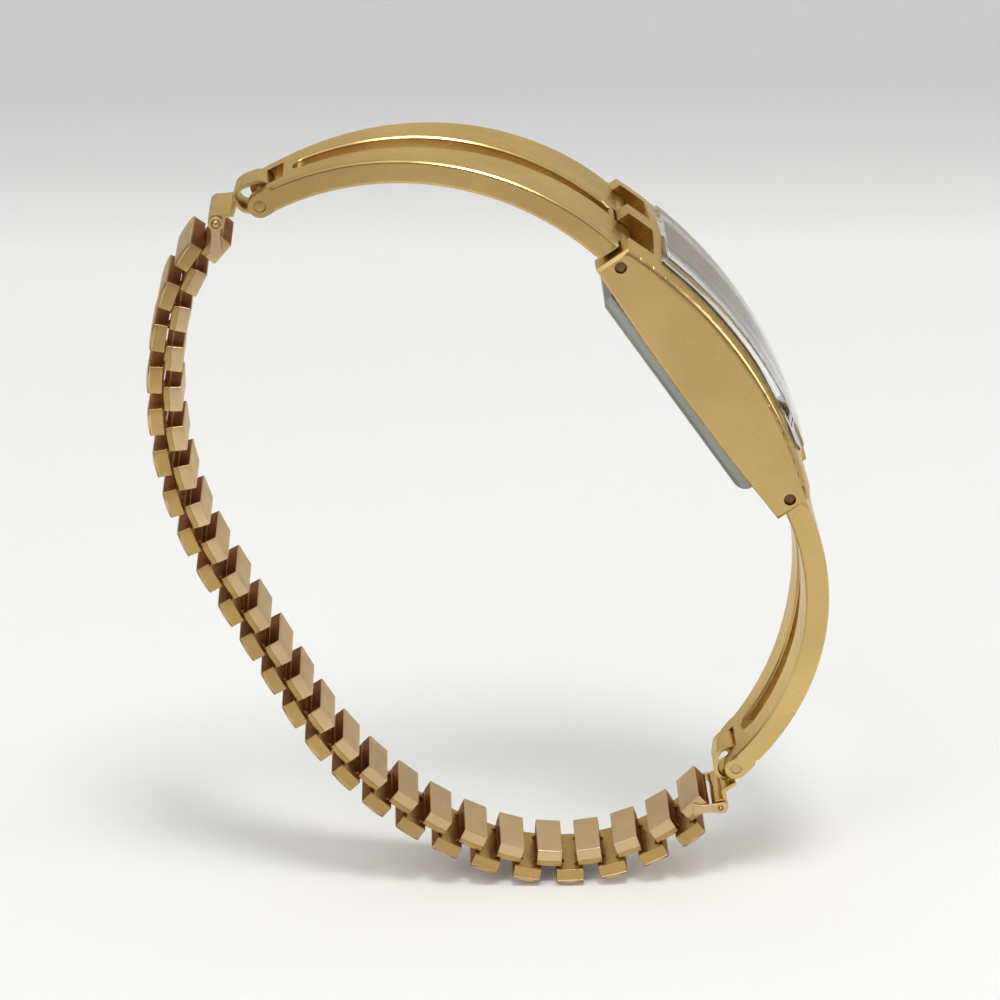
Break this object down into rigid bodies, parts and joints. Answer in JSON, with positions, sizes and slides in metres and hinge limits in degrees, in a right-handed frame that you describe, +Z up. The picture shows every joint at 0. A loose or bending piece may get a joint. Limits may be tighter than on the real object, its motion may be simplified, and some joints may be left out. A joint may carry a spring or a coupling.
{
  "type": "stretch band watch",
  "caption": "Gold tone bangle watch with a long rectangular case, slotted curved arms and an expansion band of small staggered boxes.",
  "frame": {"origin": "middle of the loop, halfway across the band, where the middle of a wrist would be", "axes": "+Z up as shown, +Y across the wrist towards the crown side, away from the side shown in front, +X to the side where the case sits; the loop lies in the XZ plane"},
  "size_m": [0.0508, 0.0189, 0.0592],
  "materials": {
    "gold_tone": "polished",
    "gold_boxes": "satin",
    "pins": "satin",
    "crystal": "polished",
    "gasket": "matte",
    "dial": "satin",
    "bright_gold": "polished",
    "wheels": "satin",
    "spacer": "matte",
    "plates": "satin",
    "cell": "satin",
    "steel": "satin",
    "coil": "gloss",
    "stator": "satin",
    "magnet": "matte",
    "board": "matte",
    "back_steel": "satin"
  },
  "bodies": {
    "head": {"case_body": "gold_tone", "crystal": "crystal", "crystal_gasket": "gasket", "dial": "dial", "hour_markers": "bright_gold", "movement_ring": "spacer", "main_plate": "plates", "train_bridge": "plates", "battery_cell": "cell", "battery_strap": "steel", "drive_coil": "coil", "stator": "stator", "rotor": "magnet", "circuit_board": "board", "case_back": "back_steel", "back_gasket": "gasket", "crown_tube": "steel", "lug_pin_12": "pins", "lug_pin_6": "pins"},
    "minute": {"minute_hand": "bright_gold", "cannon_pinion": "wheels"},
    "motion_wheel": {"minute_wheel": "wheels"},
    "hour": {"hour_hand": "bright_gold", "hour_wheel": "wheels"},
    "setting": {"pull_piece": "steel"},
    "crown_unit": {"crown": "gold_tone", "stem": "steel", "crown_gasket": "gasket"},
    "arm_12": {"bangle_arm_12": "gold_tone", "arm_pin_12": "pins"},
    "arm_6": {"bangle_arm_6": "gold_tone", "arm_pin_6": "pins"},
    "conn_12": {"connector_12": "gold_tone"},
    "conn_6": {"connector_6": "gold_tone"},
    "band_end_12": {"end_link_12": "gold_boxes"},
    "box_01": {"link_01": "gold_boxes"},
    "box_02": {"link_02": "gold_boxes"},
    "box_03": {"link_03": "gold_boxes"},
    "box_04": {"link_04": "gold_boxes"},
    "box_05": {"link_05": "gold_boxes"},
    "box_06": {"link_06": "gold_boxes"},
    "box_07": {"link_07": "gold_boxes"},
    "box_08": {"link_08": "gold_boxes"},
    "box_09": {"link_09": "gold_boxes"},
    "box_10": {"link_10": "gold_boxes"},
    "box_11": {"link_11": "gold_boxes"},
    "box_12": {"link_12": "gold_boxes"},
    "box_13": {"link_13": "gold_boxes"},
    "box_14": {"link_14": "gold_boxes"},
    "box_15": {"link_15": "gold_boxes"},
    "box_16": {"link_16": "gold_boxes"},
    "box_17": {"link_17": "gold_boxes"},
    "box_18": {"link_18": "gold_boxes"},
    "box_19": {"link_19": "gold_boxes"},
    "box_20": {"link_20": "gold_boxes"},
    "box_21": {"link_21": "gold_boxes"},
    "box_22": {"link_22": "gold_boxes"},
    "box_23": {"link_23": "gold_boxes"},
    "box_24": {"link_24": "gold_boxes", "end_link_6": "gold_boxes"}
  },
  "joints": [
    {"name": "bangle_open", "type": "hinge", "parent": "head", "child": "arm_12", "pos_m": [0.0092, 0, 0.02129], "axis": [0, 1, 0], "range_deg": [-2, 8.5], "stiffness_Nm_per_rad": 1.5},
    {"name": "arm_6_swing", "type": "hinge", "parent": "head", "child": "arm_6", "pos_m": [0.02182, 0, 0.00327], "axis": [0, 1, 0], "range_deg": [-8.81, 2.31]},
    {"name": "connector_12_swing", "type": "hinge", "parent": "arm_12", "child": "conn_12", "pos_m": [-0.01673, 0, 0.02429], "axis": [0, 1, 0], "range_deg": [-5.71, 1.5]},
    {"name": "band_end_swing", "type": "hinge", "parent": "conn_12", "child": "band_end_12", "pos_m": [-0.01995, 0, 0.02293], "axis": [0, 1, 0], "range_deg": [-3.15, 0.83]},
    {"name": "connector_6_swing", "type": "hinge", "parent": "arm_6", "child": "conn_6", "pos_m": [0.01885, 0, -0.02125], "axis": [0, 1, 0], "range_deg": [-1.47, 5.58]},
    {"name": "stretch_01", "type": "slide", "parent": "band_end_12", "child": "box_01", "axis": [-0.6137, 0, -0.7895], "range_m": [-0.0000791, 0.0003011]},
    {"name": "stretch_02", "type": "slide", "parent": "band_end_12", "child": "box_02", "axis": [-0.5116, 0, -0.8592], "range_m": [-0.0001569, 0.0005975]},
    {"name": "stretch_03", "type": "slide", "parent": "band_end_12", "child": "box_03", "axis": [-0.4118, 0, -0.9113], "range_m": [-0.00023, 0.00089]},
    {"name": "stretch_04", "type": "slide", "parent": "band_end_12", "child": "box_04", "axis": [-0.3332, 0, -0.9429], "range_m": [-0.00031, 0.00118]},
    {"name": "stretch_05", "type": "slide", "parent": "band_end_12", "child": "box_05", "axis": [-0.2631, 0, -0.9648], "range_m": [-0.00038, 0.00146]},
    {"name": "stretch_06", "type": "slide", "parent": "band_end_12", "child": "box_06", "axis": [-0.1971, 0, -0.9804], "range_m": [-0.00046, 0.00174]},
    {"name": "stretch_07", "type": "slide", "parent": "band_end_12", "child": "box_07", "axis": [-0.1335, 0, -0.9911], "range_m": [-0.00053, 0.00202]},
    {"name": "stretch_08", "type": "slide", "parent": "band_end_12", "child": "box_08", "axis": [-0.0713, 0, -0.9975], "range_m": [-0.0006, 0.00229]},
    {"name": "stretch_09", "type": "slide", "parent": "band_end_12", "child": "box_09", "axis": [-0.0102, 0, -0.9999], "range_m": [-0.00067, 0.00255]},
    {"name": "stretch_10", "type": "slide", "parent": "band_end_12", "child": "box_10", "axis": [0.0421, 0, -0.9991], "range_m": [-0.00074, 0.00282]},
    {"name": "stretch_11", "type": "slide", "parent": "band_end_12", "child": "box_11", "axis": [0.0852, 0, -0.9964], "range_m": [-0.00081, 0.00309]},
    {"name": "stretch_12", "type": "slide", "parent": "band_end_12", "child": "box_12", "axis": [0.1211, 0, -0.9926], "range_m": [-0.00088, 0.00337]},
    {"name": "stretch_13", "type": "slide", "parent": "band_end_12", "child": "box_13", "axis": [0.1513, 0, -0.9885], "range_m": [-0.00096, 0.00365]},
    {"name": "stretch_14", "type": "slide", "parent": "band_end_12", "child": "box_14", "axis": [0.1832, 0, -0.9831], "range_m": [-0.00103, 0.00392]},
    {"name": "stretch_15", "type": "slide", "parent": "band_end_12", "child": "box_15", "axis": [0.2181, 0, -0.9759], "range_m": [-0.0011, 0.00419]},
    {"name": "stretch_16", "type": "slide", "parent": "band_end_12", "child": "box_16", "axis": [0.2551, 0, -0.9669], "range_m": [-0.00117, 0.00444]},
    {"name": "stretch_17", "type": "slide", "parent": "band_end_12", "child": "box_17", "axis": [0.2937, 0, -0.9559], "range_m": [-0.00123, 0.00468]},
    {"name": "stretch_18", "type": "slide", "parent": "band_end_12", "child": "box_18", "axis": [0.3334, 0, -0.9428], "range_m": [-0.00129, 0.0049]},
    {"name": "stretch_19", "type": "slide", "parent": "band_end_12", "child": "box_19", "axis": [0.3737, 0, -0.9276], "range_m": [-0.00134, 0.00511]},
    {"name": "stretch_20", "type": "slide", "parent": "band_end_12", "child": "box_20", "axis": [0.4166, 0, -0.9091], "range_m": [-0.00139, 0.00529]},
    {"name": "stretch_21", "type": "slide", "parent": "band_end_12", "child": "box_21", "axis": [0.4617, 0, -0.887], "range_m": [-0.00143, 0.00543]},
    {"name": "stretch_22", "type": "slide", "parent": "band_end_12", "child": "box_22", "axis": [0.5075, 0, -0.8616], "range_m": [-0.00145, 0.00552]},
    {"name": "stretch_23", "type": "slide", "parent": "band_end_12", "child": "box_23", "axis": [0.553, 0, -0.8331], "range_m": [-0.00146, 0.00556]},
    {"name": "stretch_24", "type": "slide", "parent": "band_end_12", "child": "box_24", "axis": [0.5973, 0, -0.802], "range_m": [-0.00146, 0.00556]},
    {"name": "minute_turn", "type": "hinge", "parent": "head", "child": "minute", "pos_m": [0.01551, 0, 0.01228], "axis": [0.8192, 0, 0.5736], "continuous": true},
    {"name": "motion_wheel_turn", "type": "hinge", "parent": "head", "child": "motion_wheel", "pos_m": [0.01666, 0, 0.01064], "axis": [0.8192, 0, 0.5736], "continuous": true},
    {"name": "hour_turn", "type": "hinge", "parent": "head", "child": "hour", "pos_m": [0.01551, 0, 0.01228], "axis": [0.8192, 0, 0.5736], "continuous": true},
    {"name": "crown_pull", "type": "slide", "parent": "head", "child": "setting", "axis": [0, 1, 0], "range_m": [0, 0.0006]},
    {"name": "crown_turn", "type": "hinge", "parent": "setting", "child": "crown_unit", "pos_m": [0.01551, 0.00885, 0.01228], "axis": [0, 1, 0], "continuous": true}
  ],
  "couplings": [
    {"joint": "arm_6_swing", "follows": "bangle_open", "ratio": -1},
    {"joint": "connector_12_swing", "follows": "bangle_open", "ratio": -0.64811},
    {"joint": "band_end_swing", "follows": "bangle_open", "ratio": -0.3573},
    {"joint": "connector_6_swing", "follows": "bangle_open", "ratio": 0.6336},
    {"joint": "stretch_01", "follows": "bangle_open", "m_per_rad": 0.0019569},
    {"joint": "stretch_02", "follows": "bangle_open", "m_per_rad": 0.0038838},
    {"joint": "stretch_03", "follows": "bangle_open", "m_per_rad": 0.0057669},
    {"joint": "stretch_04", "follows": "bangle_open", "m_per_rad": 0.0076412},
    {"joint": "stretch_05", "follows": "bangle_open", "m_per_rad": 0.0094954},
    {"joint": "stretch_06", "follows": "bangle_open", "m_per_rad": 0.011322},
    {"joint": "stretch_07", "follows": "bangle_open", "m_per_rad": 0.013114},
    {"joint": "stretch_08", "follows": "bangle_open", "m_per_rad": 0.014865},
    {"joint": "stretch_09", "follows": "bangle_open", "m_per_rad": 0.016571},
    {"joint": "stretch_10", "follows": "bangle_open", "m_per_rad": 0.018303},
    {"joint": "stretch_11", "follows": "bangle_open", "m_per_rad": 0.020076},
    {"joint": "stretch_12", "follows": "bangle_open", "m_per_rad": 0.021881},
    {"joint": "stretch_13", "follows": "bangle_open", "m_per_rad": 0.02371},
    {"joint": "stretch_14", "follows": "bangle_open", "m_per_rad": 0.025498},
    {"joint": "stretch_15", "follows": "bangle_open", "m_per_rad": 0.027216},
    {"joint": "stretch_16", "follows": "bangle_open", "m_per_rad": 0.028855},
    {"joint": "stretch_17", "follows": "bangle_open", "m_per_rad": 0.03041},
    {"joint": "stretch_18", "follows": "bangle_open", "m_per_rad": 0.031872},
    {"joint": "stretch_19", "follows": "bangle_open", "m_per_rad": 0.033236},
    {"joint": "stretch_20", "follows": "bangle_open", "m_per_rad": 0.034389},
    {"joint": "stretch_21", "follows": "bangle_open", "m_per_rad": 0.035272},
    {"joint": "stretch_22", "follows": "bangle_open", "m_per_rad": 0.035868},
    {"joint": "stretch_23", "follows": "bangle_open", "m_per_rad": 0.036165},
    {"joint": "stretch_24", "follows": "bangle_open", "m_per_rad": 0.036157},
    {"joint": "motion_wheel_turn", "follows": "minute_turn", "ratio": -0.33333},
    {"joint": "hour_turn", "follows": "minute_turn", "ratio": 0.083333}
  ]
}
